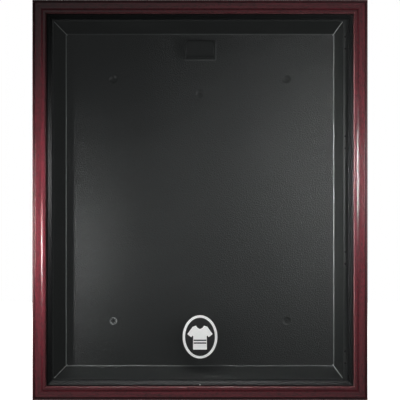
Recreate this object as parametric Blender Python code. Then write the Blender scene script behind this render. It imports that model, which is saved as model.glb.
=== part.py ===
"""Wall display case for a folded jersey.

A moulded backing tray hangs flat on the wall.  A mitred timber door, lined with a black strip and glazed
with a clear sheet, swings on four butt hinges along its right-hand side and is held shut by two magnets.

Metres, +Z up, +X to the right of someone who faces the case, and the front towards -Y.  The origin is the
centre of the flat face that lies on the wall.
"""

import math

import bmesh
import bpy
from mathutils import Vector

# ---------------------------------------------------------------- driving dimensions
CASE_W = 0.864  # across the door
CASE_H = 1.032  # up the door
GAP = 0.0003  # between pieces that touch

# Backing tray
TRAY_INSET = 0.0235  # from the door's outer edge in to the tray's side
TRAY_D = 0.050  # wall face to the front of the rim
TRAY_T = 0.003  # wall, rim and skirt
FLOOR_T = 0.004
RIM_W = 0.0285
HINGE_RIM_W = 0.037  # the wider rim that takes the hinge screws
WALL_RUN = 0.028  # how far a sloped wall leans in between rim and floor
TRAY_CORNER_R = 0.006
RIM_ROUND = 0.0018
FLOOR_FILLET = 0.005
RIB_T = 0.0025
RIB_PITCH = 0.150
RIB_SETBACK = 0.006  # from the wall face to a rib's edge

# Wall fixings, in the tray's floor
FIX_IN_X = 0.124  # from the floor's sides in to the four outer fixings
FIX_IN_Z = 0.118
FIX_BELOW_HOOK = 0.114  # from the hook's centre down to the middle fixing
FIX_HOLE_R = 0.00225
FIX_DISH_R = 0.012
FIX_DISH_D = 0.0026

# Hanging hook
HOOK_W = 0.073
HOOK_H = 0.042
HOOK_D = 0.040
HOOK_BELOW_WALL = 0.021  # from the floor's top edge down to the hook's top
HOOK_TOP_R = 0.010
HOOK_FLARE = 0.006
HOOK_SLOT_W = 0.018  # front to back
HOOK_SLOT_DEEP = 0.020
HOOK_LIP_T = 0.008
HOOK_SCREW_X = 0.020

# Door timber
RAIL_W = 0.036
RAIL_D = 0.024
REBATE_AT = 0.032  # from the outer edge in to the rebate's wall
REBATE_D = 0.0134
KEY_SIZE = (0.020, 0.012, 0.0025)
KEY_IN = 0.016  # from both outer edges to the key's centre
KEY_H = 0.0082

# Liner and glazing
LINER_W = 0.013  # what shows inside the timber
PANEL_T = 0.003
PANEL_EDGE = 0.001  # room around the clear sheet
POINT_T = 0.001
POINT_W = 0.012
POINT_L = 0.014
POINT_H = 0.003  # from the door's back to the points
POINT_STEP = 0.300
EMBLEM_W = 0.096
EMBLEM_H = 0.118
EMBLEM_T = 0.0004
EMBLEM_UP = 0.113  # from the sight opening's bottom edge up to the emblem's centre

# Butt hinges
LEAF_T = 0.0012
LEAF_H = 0.050
CASE_LEAF_W = 0.040
DOOR_LEAF_W = 0.018
BARREL_R = 0.0027
PIN_R = 0.00125
PIN_CLEAR = 0.00008
PIN_OVER = 0.0008  # how far a pin stands past the barrel at each end
HINGE_FROM_END = 0.108
HINGE_INNER_Z = 0.150
HINGE_SCREW_Z = 0.0155
CASE_SCREW_X = 0.0355  # from the hinge's axis
DOOR_SCREW_X = 0.0115

# Screws
HEAD_R = 0.0026
HEAD_D = 0.0011
SHANK_R = 0.0015
CASE_SCREW_L = 0.0075
DOOR_SCREW_L = 0.012
HOOK_SCREW_L = 0.013
SCREW_CLEAR = 0.00015

# Magnetic catch and stud
MAGNET_R = 0.003
MAGNET_T = 0.0025
STRIKE_R = 0.0035
STRIKE_T = 0.0008
CATCH_Z = 0.250
STUD_HEAD_R = 0.0021
STUD_HEAD_T = 0.0016
STUD_SHANK_R = 0.0010

# ---------------------------------------------------------------- worked-out places
HALF_W = CASE_W / 2
HALF_H = CASE_H / 2
TRAY_X = HALF_W - TRAY_INSET
TRAY_Z = HALF_H - TRAY_INSET
FLOOR_X = TRAY_X - RIM_W - WALL_RUN
FLOOR_Z = TRAY_Z - RIM_W - WALL_RUN
LEAF_BACK = TRAY_D + GAP
DOOR_BACK = LEAF_BACK + LEAF_T + GAP
AXIS_X = TRAY_X + 0.0008 + BARREL_R
AXIS_Y = -(LEAF_BACK + LEAF_T - BARREL_R)
HINGE_Z = (HALF_H - HINGE_FROM_END, HINGE_INNER_Z, -HINGE_INNER_Z, HINGE_FROM_END - HALF_H)
PANEL_H = POINT_H + POINT_T + GAP  # from the door's back to the clear sheet
LINER_H = PANEL_H + PANEL_T + GAP
SIGHT_Z = HALF_H - RAIL_W - LINER_W
CATCH_U = (TRAY_INSET + REBATE_AT) / 2

BLACK_PLASTIC = ("black_plastic", (0.018, 0.020, 0.021), 0.45, 0.0)
MAHOGANY = ("mahogany", (0.135, 0.024, 0.030), 0.28, 0.0)
LINER_BLACK = ("liner_black", (0.012, 0.012, 0.012), 0.30, 0.0)
CLEAR_ACRYLIC = ("clear_acrylic", (0.95, 0.97, 0.97), 0.04, 0.0)
PRINT_WHITE = ("print_white", (0.80, 0.80, 0.78), 0.50, 0.0)
BLACKED_STEEL = ("blacked_steel", (0.05, 0.05, 0.05), 0.40, 0.9)
BRIGHT_STEEL = ("bright_steel", (0.62, 0.62, 0.60), 0.28, 1.0)
MAGNET_NICKEL = ("magnet_nickel", (0.50, 0.49, 0.46), 0.25, 1.0)
KEY_BEECH = ("key_beech", (0.48, 0.33, 0.19), 0.60, 0.0)

for leftover in list(bpy.data.objects):
    bpy.data.objects.remove(leftover)


# ---------------------------------------------------------------- small tools
def material(finish):
    name, colour, roughness, metallic = finish
    found = bpy.data.materials.get(name)
    if found:
        return found
    made = bpy.data.materials.new(name)
    made.use_nodes = True
    shader = made.node_tree.nodes["Principled BSDF"]
    shader.inputs["Base Color"].default_value = (*colour, 1.0)
    shader.inputs["Roughness"].default_value = roughness
    shader.inputs["Metallic"].default_value = metallic
    made.diffuse_color = (*colour, 1.0)
    return made


def mesh_of(bm, name, smooth=True):
    bmesh.ops.recalc_face_normals(bm, faces=bm.faces)
    mesh = bpy.data.meshes.new(name)
    bm.to_mesh(mesh)
    bm.free()
    if smooth:
        mesh.shade_smooth()
        mesh.set_sharp_from_angle(angle=math.radians(32))
    return mesh


def place(name, mesh, finish, location=(0, 0, 0), rotation=(0, 0, 0), parent=None):
    obj = bpy.data.objects.new(name, mesh)
    bpy.context.scene.collection.objects.link(obj)
    if finish and not mesh.materials:
        mesh.materials.append(material(finish))
    obj.location = location
    obj.rotation_euler = rotation
    if parent:
        obj.parent = parent
        obj.location = Vector(location) - parent.location
    return obj


def baked(obj, cutters, operation="DIFFERENCE"):
    """The object with all the cutters taken out of it, or joined to it, at once; the cutters are removed."""
    tools = bmesh.new()
    for cutter in cutters:
        cutter.rotation_mode = "XYZ"
        cutter.data.transform(cutter.matrix_basis)
        tools.from_mesh(cutter.data)
        bpy.data.objects.remove(cutter)
    tool = place("tool", mesh_of(tools, "tool", False), None)
    tool.hide_render = True
    tool.display_type = "WIRE"
    cut = obj.modifiers.new("cut", "BOOLEAN")
    cut.object = tool
    cut.operation = operation
    cut.solver = "EXACT"
    cut.use_self = True
    bpy.context.view_layer.update()
    graph = bpy.context.evaluated_depsgraph_get()
    mesh = bpy.data.meshes.new_from_object(obj.evaluated_get(graph))
    mesh.name = obj.name
    obj.modifiers.clear()
    obj.data = mesh
    bpy.data.objects.remove(tool)
    mesh.shade_smooth()
    mesh.set_sharp_from_angle(angle=math.radians(32))
    return obj


def rounded(points, steps=4):
    """A path of (a, b, radius) with an arc of that radius at each point."""
    path = []
    for i, (a, b, radius) in enumerate(points):
        here = Vector((a, b))
        if not radius:
            path.append((a, b))
            continue
        back = (Vector(points[i - 1][:2]) - here).normalized()
        on = (Vector(points[(i + 1) % len(points)][:2]) - here).normalized()
        half = back.angle(on) / 2
        centre = here + (back + on).normalized() * radius / math.sin(half)
        start = here + back * radius / math.tan(half) - centre
        end = here + on * radius / math.tan(half) - centre
        sweep = start.angle_signed(end)
        for k in range(steps + 1):
            turn = -sweep * k / steps
            c, s = math.cos(turn), math.sin(turn)
            path.append((centre.x + c * start.x - s * start.y, centre.y + s * start.x + c * start.y))
    return path


def box(name, low, high):
    bm = bmesh.new()
    bmesh.ops.create_cube(bm, size=1.0)
    for vert in bm.verts:
        vert.co = [lo + (hi - lo) * (c + 0.5) for lo, hi, c in zip(low, high, vert.co)]
    return place(name, mesh_of(bm, name, False), None)


def turned(name, profile, segments):
    """A solid turned about +Z from (radius, z) points; it starts and ends on the axis."""
    bm = bmesh.new()
    rings = []
    for radius, z in profile:
        count = segments if radius > 0 else 1
        turns = [math.tau * k / count for k in range(count)]
        rings.append([bm.verts.new((radius * math.cos(turn), radius * math.sin(turn), z)) for turn in turns])
    for lower, upper in zip(rings, rings[1:]):
        for k in range(segments):
            corners = [lower[k % len(lower)], lower[(k + 1) % len(lower)]]
            corners += [upper[(k + 1) % len(upper)], upper[k % len(upper)]]
            bm.faces.new(list(dict.fromkeys(corners)))
    return mesh_of(bm, name)


def rod(name, radius, start, end, segments=16):
    """A straight round cutter between two points along Y or Z."""
    start, end = Vector(start), Vector(end)
    length = (end - start).length
    mesh = turned(name, [(0, 0), (radius, 0), (radius, length), (0, length)], segments)
    obj = place(name, mesh, None, start)
    obj.rotation_euler = (end - start).to_track_quat("Z", "Y").to_euler()
    return obj


def prism(name, outline, low, high, axes=(0, 1, 2)):
    """An outline of (a, b) points pushed from low to high; axes gives the axes of a, b and the push."""
    bm = bmesh.new()
    ends = []
    for depth in (low, high):
        ring = []
        for a, b in outline:
            point = [0.0, 0.0, 0.0]
            point[axes[0]], point[axes[1]], point[axes[2]] = a, b, depth
            ring.append(bm.verts.new(point))
        ends.append(ring)
    count = len(outline)
    for k in range(count):
        bm.faces.new((ends[0][k], ends[0][(k + 1) % count], ends[1][(k + 1) % count], ends[1][k]))
    for ring in ends:
        bm.faces.new(ring)
    return mesh_of(bm, name)


def screw_mesh(length):
    tip = SHANK_R * 1.2
    profile = [(0, 0), (HEAD_R, 0), (SHANK_R, -HEAD_D), (SHANK_R, tip - length), (SHANK_R * 0.35, -length)]
    return turned("screw", [*profile, (0, -length)], 12)


def screw_hole(name, head_at, into, length):
    """A cutter for a countersunk screw whose head is flush at head_at and whose shank runs along into."""
    head, shank = HEAD_R + SCREW_CLEAR, SHANK_R + SCREW_CLEAR
    over = 0.001
    profile = [(0, over), (head + over, over), (head, 0), (shank, -HEAD_D - SCREW_CLEAR)]
    mesh = turned(name, [*profile, (shank, -length - 2 * SCREW_CLEAR), (0, -length - 2 * SCREW_CLEAR)], 16)
    obj = place(name, mesh, None, head_at)
    obj.rotation_euler = (-Vector(into)).to_track_quat("Z", "Y").to_euler()
    return obj


# ---------------------------------------------------------------- backing tray
def hinge_extra(inward, y):
    """How much further in the hinge side's wall stands; it meets the floor where the others do."""
    if inward < RIM_W / 2:
        return 0.0
    return (HINGE_RIM_W - RIM_W) * max(0.0, (-y - FLOOR_T) / (TRAY_D - FLOOR_T))


def tray_ring(bm, inward, y, corner_r, steps=4):
    """One rounded rectangle around the tray, inward from its outer face."""
    extra = hinge_extra(inward, y)
    x0, x1, z1 = inward - TRAY_X, TRAY_X - inward - extra, TRAY_Z - inward
    ring = []
    for cx, cz, turn in ((x1, z1, 0), (x0, z1, 1), (x0, -z1, 2), (x1, -z1, 3)):
        mid_x = cx - math.copysign(corner_r, cx)
        mid_z = cz - math.copysign(corner_r, cz)
        for k in range(steps + 1):
            angle = (turn + k / steps) * math.pi / 2
            x, z = mid_x + corner_r * math.cos(angle), mid_z + corner_r * math.sin(angle)
            ring.append(bm.verts.new((x, y, z)))
    return ring


def wall_line(y):
    """Distance inward from the tray's outer face to the front of a sloped wall."""
    return RIM_W + WALL_RUN * (TRAY_D + y) / (TRAY_D - FLOOR_T)


def tray_shell():
    lean = math.atan2(WALL_RUN, TRAY_D - FLOOR_T)
    shift = TRAY_T / math.cos(lean)
    floor_edge = wall_line(-FLOOR_T)
    front = rounded(
        [
            (0, 0, 0),
            (0, -TRAY_D, RIM_ROUND),
            (RIM_W, -TRAY_D, RIM_ROUND),
            (floor_edge, -FLOOR_T, FLOOR_FILLET),
            (floor_edge + 0.01, -FLOOR_T, 0),
        ]
    )
    rim_back = -(TRAY_D - TRAY_T)
    back = [(TRAY_T, 0), (TRAY_T, rim_back)]
    back += [(wall_line(rim_back) - shift, rim_back), (wall_line(0) - shift, 0)]
    bm = bmesh.new()
    rings = [tray_ring(bm, inward, y, TRAY_CORNER_R) for inward, y in [*reversed(front), *back]]
    for one, other in zip(rings, rings[1:]):
        for k in range(len(one)):
            on = (k + 1) % len(one)
            bm.faces.new((one[k], one[on], other[on], other[k]))
    bm.faces.new(rings[0])
    bm.faces.new(rings[-1])
    return mesh_of(bm, "back_tray")


def tray_ribs():
    """Ribs across the channel behind the rim, on all four sides."""
    into = TRAY_T / 2 / math.cos(math.atan2(WALL_RUN, TRAY_D - FLOOR_T))
    top, foot = -(TRAY_D - TRAY_T / 2), -RIB_SETBACK
    section = [(TRAY_T / 2, foot), (TRAY_T / 2, top)]
    section += [(wall_line(top) - into, top), (wall_line(foot) - into, foot)]
    ribs = []
    for side in ("left", "right", "bottom", "top"):
        upright = side in ("left", "right")
        sign = 1 if side in ("right", "top") else -1
        reach, along = (TRAY_X, FLOOR_Z) if upright else (TRAY_Z, FLOOR_X)
        outline = []
        for inward, y in section:
            extra = hinge_extra(inward, y) if side == "right" else 0.0
            outline.append((sign * (reach - inward - extra), y))
        count = round(2 * along / RIB_PITCH)
        for k in range(count):
            at = ((k + 0.5) / count * 2 - 1) * along
            axes = (0, 1, 2) if upright else (2, 1, 0)
            ribs.append(place("rib", prism("rib", outline, at - RIB_T / 2, at + RIB_T / 2, axes), None))
    return ribs


def fixing_holes():
    """Countersunk dishes with a clear hole, where screws go through the floor into the wall."""
    cutters = []
    fix_x, fix_z = FLOOR_X - FIX_IN_X, FLOOR_Z - FIX_IN_Z
    outer = [(sx * fix_x, sz * fix_z) for sx in (-1, 1) for sz in (-1, 1)]
    for x, z in [*outer, (0, hook_centre_z() - FIX_BELOW_HOOK)]:
        over = 0.001
        rim = FIX_DISH_R + over * 1.6
        profile = [(0, over), (rim, over), (FIX_DISH_R * 0.42, -FIX_DISH_D), (FIX_HOLE_R, -FIX_DISH_D)]
        profile += [(FIX_HOLE_R, -FLOOR_T - over), (0, -FLOOR_T - over)]
        mesh = turned("fixing", profile, 20)
        cutters.append(place("fixing", mesh, None, (x, -FLOOR_T, z), (math.pi / 2, 0, 0)))
    return cutters


def back_tray():
    tray = place("back_tray", tray_shell(), BLACK_PLASTIC)
    baked(tray, tray_ribs(), "UNION")
    cutters = fixing_holes()
    for x, z in case_screw_places():
        cutters.append(rod("hole", SHANK_R + SCREW_CLEAR, (x, -TRAY_D - 0.002, z), (x, 0.004 - TRAY_D, z)))
    for sign in (-1, 1):
        head = (sign * HOOK_SCREW_X, 0, hook_centre_z())
        cutters.append(screw_hole("hole", head, (0, -1, 0), HOOK_SCREW_L))
    baked(tray, cutters)


# ---------------------------------------------------------------- hanging hook
def hook_centre_z():
    return FLOOR_Z - HOOK_BELOW_WALL - HOOK_H / 2


def hook_outline(grow):
    """The hook's outline at a given flare: round at the top, square at the foot."""
    half, top, foot = HOOK_W / 2 + grow, HOOK_H / 2 + grow, -HOOK_H / 2 - grow
    small = 0.002
    corners = [(half, top, HOOK_TOP_R), (-half, top, HOOK_TOP_R), (-half, foot, small), (half, foot, small)]
    return rounded(corners, 5)


def hanger_hook():
    front = HOOK_D
    stations = (
        (GAP, HOOK_FLARE),
        (0.0018, HOOK_FLARE),
        (HOOK_FLARE, 0.0022),
        (HOOK_FLARE * 2.5, 0.0010),
        (front - 0.002, 0.0),
        (front - 0.0006, -0.0005),
        (front, -0.0018),
    )
    bm = bmesh.new()
    rings = [[bm.verts.new((x, -FLOOR_T - out, z)) for x, z in hook_outline(grow)] for out, grow in stations]
    for one, other in zip(rings, rings[1:]):
        for k in range(len(one)):
            on = (k + 1) % len(one)
            bm.faces.new((one[k], one[on], other[on], other[k]))
    bm.faces.new(rings[0])
    bm.faces.new(rings[-1])
    z = hook_centre_z()
    hook = place("hanger_hook", mesh_of(bm, "hanger_hook"), BLACK_PLASTIC, (0, 0, z))
    lip_back = -FLOOR_T - HOOK_D + HOOK_LIP_T
    wide = HOOK_W / 2 + 0.02
    slot = box(
        "slot",
        (-wide, lip_back, z + HOOK_H / 2 - HOOK_SLOT_DEEP),
        (wide, lip_back + HOOK_SLOT_W, z + HOOK_H),
    )
    bored = [
        screw_hole("hole", (sign * HOOK_SCREW_X, 0, z), (0, -1, 0), HOOK_SCREW_L) for sign in (-1, 1)
    ]
    baked(hook, [slot, *bored])
    mesh = screw_mesh(HOOK_SCREW_L)
    for sign, name in ((-1, "hook_screw_left"), (1, "hook_screw_right")):
        place(name, mesh, BLACKED_STEEL, (sign * HOOK_SCREW_X, 0, z), (-math.pi / 2, 0, 0))


# ---------------------------------------------------------------- door timber, liner and glazing
def rail_section():
    """Section of the timber: (inward from the outer edge, forward of the door's back, corner radius)."""
    top = RAIL_D
    return rounded(
        [
            (0, 0, 0),
            (0, top - 0.0028, 0.0012),
            (0.0055, top - 0.0028, 0.0006),
            (0.0061, top - 0.0042, 0),
            (0.0071, top - 0.0042, 0),
            (0.0077, top - 0.0003, 0.0006),
            (0.0228, top - 0.0010, 0.0025),
            (0.0272, top, 0.0060),
            (RAIL_W, top, 0.0042),
            (RAIL_W, REBATE_D, 0),
            (REBATE_AT, REBATE_D, 0),
            (REBATE_AT, 0, 0),
        ],
        4,
    )


def liner_section():
    """Section of the black strip that edges the sight opening."""
    outer, flange = REBATE_AT + GAP, REBATE_D - GAP
    inner = RAIL_W + LINER_W
    step = RAIL_W + GAP
    return rounded(
        [
            (outer, LINER_H, 0),
            (outer, flange, 0),
            (step, flange, 0),
            (step, flange + 0.0022, 0),
            (step + 0.0012, flange + 0.0022, 0),
            (step + 0.0026, flange + 0.0046, 0.0014),
            (inner, flange - 0.0008, 0.0008),
            (inner, LINER_H, 0),
        ],
        3,
    )


def mitred(name, section, half_length, half_span, finish, turn, parent):
    """A strip with the given section along X, mitred at both ends, and turned about Y to its side."""
    bm = bmesh.new()
    trim = GAP / math.sqrt(2)
    ends = []
    for sign in (-1, 1):
        ends.append([bm.verts.new((sign * (half_length - u - trim), -h, u - half_span)) for u, h in section])
    count = len(section)
    for k in range(count):
        bm.faces.new((ends[0][k], ends[0][(k + 1) % count], ends[1][(k + 1) % count], ends[1][k]))
    for ring in ends:
        bm.faces.new(ring)
    return place(name, mesh_of(bm, name), finish, (0, -DOOR_BACK, 0), (0, turn, 0), parent)


def key_block(name, corner, grow):
    """A flat key across one mitre, or its pocket when grown."""
    sx, sz = corner
    along, across, thick = (size / 2 + grow for size in KEY_SIZE)
    obj = box(name, (-along, -thick, -across), (along, thick, across))
    obj.location = (sx * (HALF_W - KEY_IN), -DOOR_BACK - KEY_H, sz * (HALF_H - KEY_IN))
    obj.rotation_euler = (0, math.radians(45) * sx * sz, 0)
    return obj


CORNERS = {"top_left": (-1, 1), "top_right": (1, 1), "bottom_left": (-1, -1), "bottom_right": (1, -1)}


def point_places():
    """Each glazing point's name and the middle of its outer end: (x, z, inward x, inward z)."""
    edge_x, edge_z = HALF_W - REBATE_AT, HALF_H - REBATE_AT
    places = {}
    for label, along in (("upper", POINT_STEP), ("middle", 0.0), ("lower", -POINT_STEP)):
        places[f"glazing_point_left_{label}"] = (-edge_x, along, 1, 0)
        places[f"glazing_point_right_{label}"] = (edge_x, along, -1, 0)
    places["glazing_point_top"] = (0, edge_z, 0, -1)
    places["glazing_point_bottom"] = (0, -edge_z, 0, 1)
    return places


def point_block(name, spot, grow):
    """One glazing point, half in its rail and half over the sheet's back, or its slot when grown."""
    x, z, ix, iz = spot
    long, wide, thick = POINT_L / 2 + grow, POINT_W / 2 + grow, POINT_T / 2 + grow
    half_x, half_z = (long, wide) if ix else (wide, long)
    y = -DOOR_BACK - POINT_H - POINT_T / 2
    return box(name, (x - half_x, y - thick, z - half_z), (x + half_x, y + thick, z + half_z))


def case_screw_places():
    return [(AXIS_X - CASE_SCREW_X, z + s * HINGE_SCREW_Z) for z in HINGE_Z for s in (1, -1)]


def door_screw_places():
    return [(AXIS_X + DOOR_SCREW_X, z + s * HINGE_SCREW_Z) for z in HINGE_Z for s in (1, -1)]


def door_timber(hinge_line):
    half_turn = math.pi
    sides = {
        "rail_bottom": (HALF_W, HALF_H, 0.0),
        "stile_left": (HALF_H, HALF_W, math.pi / 2),
        "rail_top": (HALF_W, HALF_H, half_turn),
        "stile_right": (HALF_H, HALF_W, -math.pi / 2),
    }
    beside = {
        "rail_bottom": ("bottom_left", "bottom_right"),
        "stile_left": ("top_left", "bottom_left"),
        "rail_top": ("top_left", "top_right"),
        "stile_right": ("top_right", "bottom_right"),
    }
    for name, (half_length, half_span, turn) in sides.items():
        piece = mitred(name, rail_section(), half_length, half_span, MAHOGANY, turn, hinge_line)
        cutters = [key_block("pocket", CORNERS[corner], GAP) for corner in beside[name]]
        side = name.split("_")[1]
        for point, spot in point_places().items():
            if f"_{side}" in point:
                cutters.append(point_block("slot", spot, GAP))
        if name == "stile_right":
            for x, z in door_screw_places():
                cutters.append(screw_hole("pilot", (x, -LEAF_BACK, z), (0, -1, 0), DOOR_SCREW_L))
        if name == "stile_left":
            for z in (-CATCH_Z, CATCH_Z):
                x = CATCH_U - HALF_W
                start, end = (x, 0.001 - DOOR_BACK, z), (x, -DOOR_BACK - MAGNET_T - GAP, z)
                cutters.append(rod("pocket", MAGNET_R + SCREW_CLEAR, start, end, 20))
        baked(piece, cutters)
        liner = mitred(name.replace("rail", "liner").replace("stile", "liner"), liner_section(),
                       half_length, half_span, LINER_BLACK, turn, hinge_line)
        if name == "rail_bottom":
            x, y, z = stud_place()
            start, end = (x, y - 0.004, z), (x, -DOOR_BACK - LINER_H - 0.002, z)
            hole = rod("hole", STUD_SHANK_R + SCREW_CLEAR, start, end, 12)
            baked(liner, [hole])


def mitre_keys(hinge_line):
    for corner, signs in CORNERS.items():
        key = key_block(f"mitre_key_{corner}", signs, 0.0)
        key.data.materials.append(material(KEY_BEECH))
        key.parent = hinge_line
        key.location -= hinge_line.location


def glazing(hinge_line):
    edge = REBATE_AT + PANEL_EDGE
    half_x, half_z = HALF_W - edge, HALF_H - edge
    y0 = -DOOR_BACK - PANEL_H
    panel = box("clear_panel", (-half_x, -PANEL_T, -half_z), (half_x, 0, half_z))
    panel.data.materials.append(material(CLEAR_ACRYLIC))
    panel.parent = hinge_line
    panel.location = Vector((0, y0, 0)) - hinge_line.location
    for name, spot in point_places().items():
        point = point_block(name, spot, 0.0)
        point.data.materials.append(material(BRIGHT_STEEL))
        point.parent = hinge_line
        point.location = -hinge_line.location
    outline = []
    for k in range(48):
        angle = math.tau * k / 48
        outline.append((EMBLEM_W / 2 * math.cos(angle), EMBLEM_H / 2 * math.sin(angle)))
    mesh = prism("front_emblem", outline, -EMBLEM_T, 0, (0, 2, 1))
    place("front_emblem", mesh, PRINT_WHITE, (0, y0 - PANEL_T - GAP, EMBLEM_UP - SIGHT_Z), parent=hinge_line)


def stud_place():
    """Under the head of the stud, on the crest of the bottom liner."""
    inward = RAIL_W + GAP + 0.0030
    forward = REBATE_D - GAP + 0.0044
    return 0.0, -DOOR_BACK - forward, inward - HALF_H


def pull_stud(hinge_line):
    x, y, z = stud_place()
    head, dome = STUD_HEAD_R, STUD_HEAD_T
    shank_l = 0.0068
    profile = [(0, dome), (head * 0.5, dome * 0.93), (head * 0.85, dome * 0.62), (head, dome * 0.15)]
    profile += [(head, 0), (STUD_SHANK_R, 0), (STUD_SHANK_R, -shank_l), (0, -shank_l)]
    mesh = turned("pull_stud", profile, 16)
    place("pull_stud", mesh, BRIGHT_STEEL, (x, y - GAP, z), (math.pi / 2, 0, 0), hinge_line)


# ---------------------------------------------------------------- hinges and catch
def leaf_mesh(name, width, side, knuckles):
    """A leaf whose barrel is centred on the origin; side is -1 towards the case and 1 towards the door."""
    flat_at = math.asin((LEAF_T - BARREL_R) / BARREL_R)
    outline = [(width, -BARREL_R)]
    turns = 18
    for k in range(turns + 1):
        angle = -math.pi / 2 - (math.pi * 1.5 - flat_at) * k / turns
        outline.append((BARREL_R * math.cos(angle), BARREL_R * math.sin(angle)))
    outline.append((width, LEAF_T - BARREL_R))
    outline = [(side * x, y) for x, y in outline]
    leaf = place(name, prism(name, outline, -LEAF_H / 2, LEAF_H / 2), BLACKED_STEEL)
    third = LEAF_H / 3
    slack = 0.0003
    away = BARREL_R + 0.0006
    cutters = []
    for k in range(3):
        if k in knuckles:
            continue
        z0 = -LEAF_H / 2 + third * k - (slack / 2 if k else 0.002)
        z1 = -LEAF_H / 2 + third * (k + 1) + (slack / 2 if k < 2 else 0.002)
        low, high = sorted((-side * (BARREL_R + 0.001), side * away))
        cutters.append(box("between", (low, -BARREL_R - 0.001, z0), (high, BARREL_R + 0.001, z1)))
    reach = LEAF_H / 2 + 0.002
    cutters.append(rod("bore", PIN_R + PIN_CLEAR, (0, 0, -reach), (0, 0, reach), 20))
    return leaf, cutters


def hinges(hinge_line):
    labels = ("top", "upper", "lower", "bottom")
    face = -(LEAF_BACK + LEAF_T)
    case_leaf, cutters = leaf_mesh("case_leaf", CASE_LEAF_W, -1, (0, 2))
    for s in (-1, 1):
        at = (-CASE_SCREW_X, -BARREL_R, s * HINGE_SCREW_Z)
        cutters.append(screw_hole("hole", at, (0, 1, 0), CASE_SCREW_L))
    case_mesh = baked(case_leaf, cutters).data
    door_leaf, cutters = leaf_mesh("door_leaf", DOOR_LEAF_W, 1, (1,))
    for s in (-1, 1):
        at = (DOOR_SCREW_X, LEAF_T - BARREL_R, s * HINGE_SCREW_Z)
        cutters.append(screw_hole("hole", at, (0, -1, 0), DOOR_SCREW_L))
    door_mesh = baked(door_leaf, cutters).data
    bpy.data.objects.remove(case_leaf)
    bpy.data.objects.remove(door_leaf)
    half = LEAF_H / 2 + PIN_OVER
    pin_mesh = turned("hinge_pin", [(0, -half), (PIN_R, -half), (PIN_R, half), (0, half)], 20)
    case_screw, door_screw = screw_mesh(CASE_SCREW_L), screw_mesh(DOOR_SCREW_L)
    for label, z in zip(labels, HINGE_Z):
        place(f"case_hinge_leaf_{label}", case_mesh, BLACKED_STEEL, (AXIS_X, AXIS_Y, z))
        place(f"door_hinge_leaf_{label}", door_mesh, BLACKED_STEEL, (AXIS_X, AXIS_Y, z), parent=hinge_line)
        place(f"hinge_pin_{label}", pin_mesh, BLACKED_STEEL, (AXIS_X, AXIS_Y, z))
        for end, s in (("a", 1), ("b", -1)):
            at = z + s * HINGE_SCREW_Z
            place(f"case_hinge_screw_{label}_{end}", case_screw, BLACKED_STEEL,
                  (AXIS_X - CASE_SCREW_X, face, at), (math.pi / 2, 0, 0))
            place(f"door_hinge_screw_{label}_{end}", door_screw, BLACKED_STEEL,
                  (AXIS_X + DOOR_SCREW_X, -LEAF_BACK, at), (-math.pi / 2, 0, 0), hinge_line)


def catch(hinge_line):
    x = CATCH_U - HALF_W
    magnet = turned("catch_magnet", [(0, 0), (MAGNET_R, 0), (MAGNET_R, MAGNET_T), (0, MAGNET_T)], 20)
    strike = turned("catch_strike", [(0, 0), (STRIKE_R, 0), (STRIKE_R, STRIKE_T), (0, STRIKE_T)], 20)
    for label, z in (("upper", CATCH_Z), ("lower", -CATCH_Z)):
        facing_out = (math.pi / 2, 0, 0)
        place(f"catch_magnet_{label}", magnet, MAGNET_NICKEL, (x, -DOOR_BACK, z), facing_out, hinge_line)
        place(f"catch_strike_{label}", strike, BRIGHT_STEEL, (x, -TRAY_D - GAP, z), facing_out)


hinge_line = bpy.data.objects.new("door_hinge_line", None)
bpy.context.scene.collection.objects.link(hinge_line)
hinge_line.location = (AXIS_X, AXIS_Y, 0)

back_tray()
hanger_hook()
door_timber(hinge_line)
mitre_keys(hinge_line)
glazing(hinge_line)
pull_stud(hinge_line)
hinges(hinge_line)
catch(hinge_line)
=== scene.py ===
import math

import bmesh
import bpy
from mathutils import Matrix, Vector


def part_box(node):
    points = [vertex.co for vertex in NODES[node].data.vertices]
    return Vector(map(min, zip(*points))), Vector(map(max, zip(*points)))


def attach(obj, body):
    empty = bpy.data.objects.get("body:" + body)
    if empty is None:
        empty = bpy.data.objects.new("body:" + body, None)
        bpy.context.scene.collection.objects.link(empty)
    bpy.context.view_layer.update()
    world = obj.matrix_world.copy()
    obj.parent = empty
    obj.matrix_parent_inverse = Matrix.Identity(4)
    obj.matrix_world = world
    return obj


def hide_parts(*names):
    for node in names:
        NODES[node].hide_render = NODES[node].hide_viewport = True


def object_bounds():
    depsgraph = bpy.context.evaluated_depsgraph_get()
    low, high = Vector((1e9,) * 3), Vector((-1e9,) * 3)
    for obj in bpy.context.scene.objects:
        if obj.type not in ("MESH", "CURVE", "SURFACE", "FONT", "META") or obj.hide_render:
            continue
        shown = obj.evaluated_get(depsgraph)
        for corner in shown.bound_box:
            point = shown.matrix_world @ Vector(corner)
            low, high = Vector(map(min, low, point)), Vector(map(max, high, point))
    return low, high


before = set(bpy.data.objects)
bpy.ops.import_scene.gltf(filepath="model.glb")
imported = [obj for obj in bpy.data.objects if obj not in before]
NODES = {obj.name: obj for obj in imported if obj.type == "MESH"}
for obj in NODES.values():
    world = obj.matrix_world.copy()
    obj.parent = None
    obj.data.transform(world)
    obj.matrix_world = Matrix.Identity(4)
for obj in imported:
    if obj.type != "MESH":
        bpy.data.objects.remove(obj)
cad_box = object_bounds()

# ---------------------------------------------------------------- places read from the frame
LOW, HIGH = cad_box
HALF_W, HALF_H = HIGH[0], HIGH[2]
FRONT_Y = LOW[1]
STILE_LOW, STILE_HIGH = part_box("stile_left")
LINER_LOW, LINER_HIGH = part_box("liner_left")
PANEL_LOW, PANEL_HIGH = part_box("clear_panel")
TRAY_LOW, TRAY_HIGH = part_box("back_tray")
HOOK_LOW, HOOK_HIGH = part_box("hanger_hook")
EMBLEM_LOW, EMBLEM_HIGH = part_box("front_emblem")
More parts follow.
